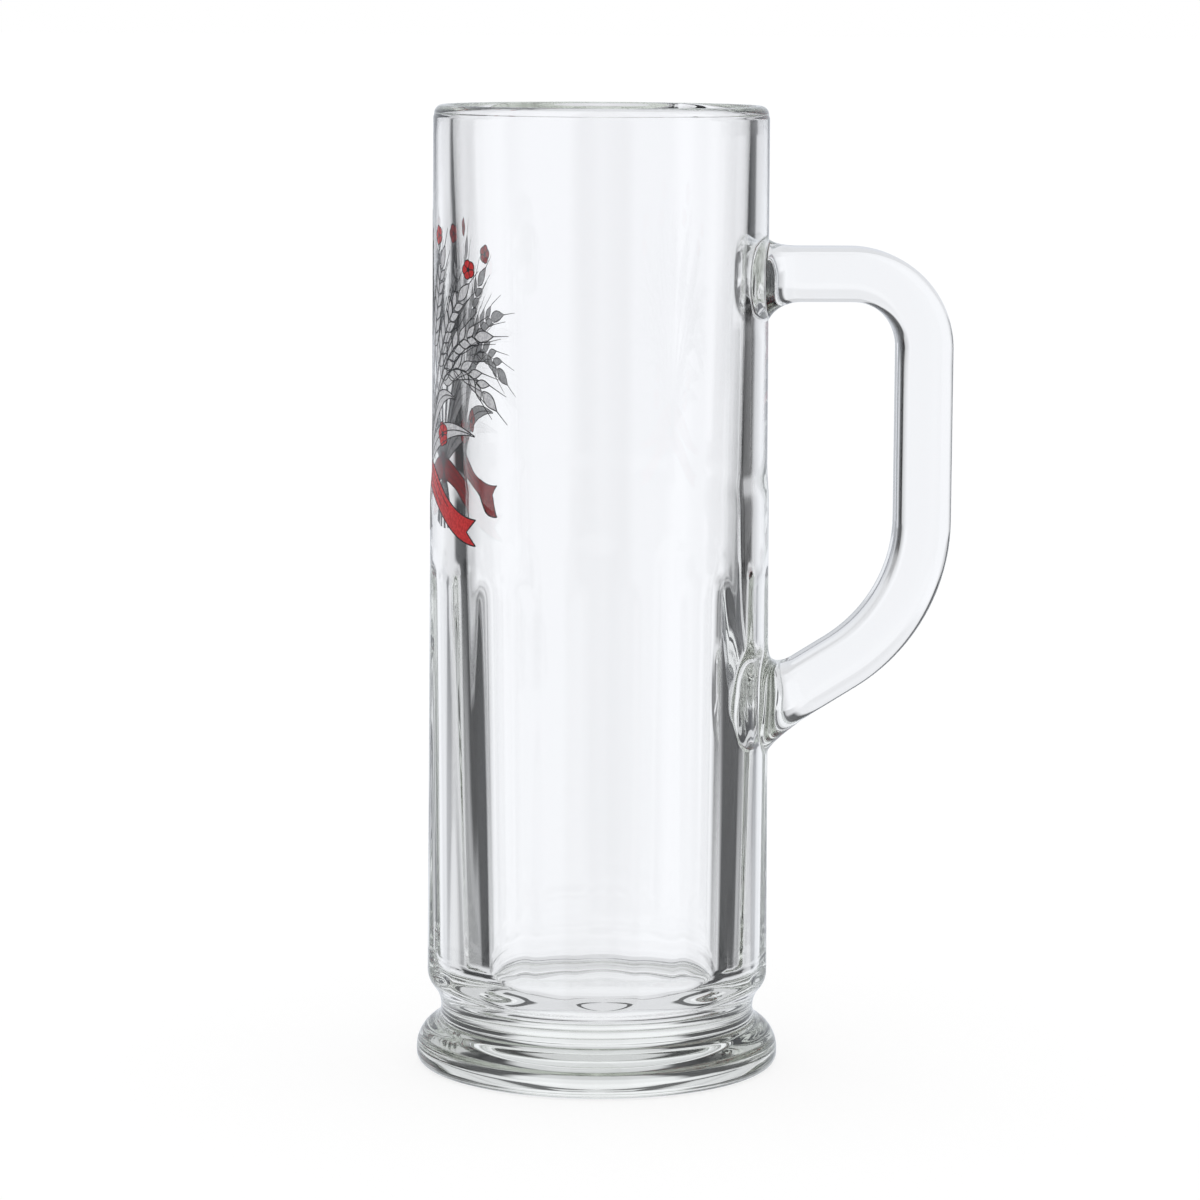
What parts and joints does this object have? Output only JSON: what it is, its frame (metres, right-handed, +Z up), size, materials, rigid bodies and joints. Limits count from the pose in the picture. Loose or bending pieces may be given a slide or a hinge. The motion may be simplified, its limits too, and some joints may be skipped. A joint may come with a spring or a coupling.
{
  "type": "beer mug",
  "caption": "Tall clear glass beer mug with a fluted lower half, a waisted round foot, an applied loop handle and a fired enamel print of a barley sheaf.",
  "frame": {"origin": "middle of the foot's flat underside, on the mug's axis", "axes": "+Z up along the mug's axis, +X towards the handle, the print faces -X"},
  "size_m": [0.1163, 0.0796, 0.21],
  "materials": {
    "body_glass": "clear, fire polished",
    "handle_glass": "clear, fire polished",
    "grey_enamel": "fired enamel, satin",
    "black_enamel": "fired enamel, satin",
    "red_enamel": "fired enamel, satin"
  },
  "bodies": {
    "root": {"glass_body": "body_glass", "handle": "handle_glass", "print_sheaf": "grey_enamel", "print_lines": "black_enamel", "print_ribbon": "red_enamel"}
  },
  "joints": []
}
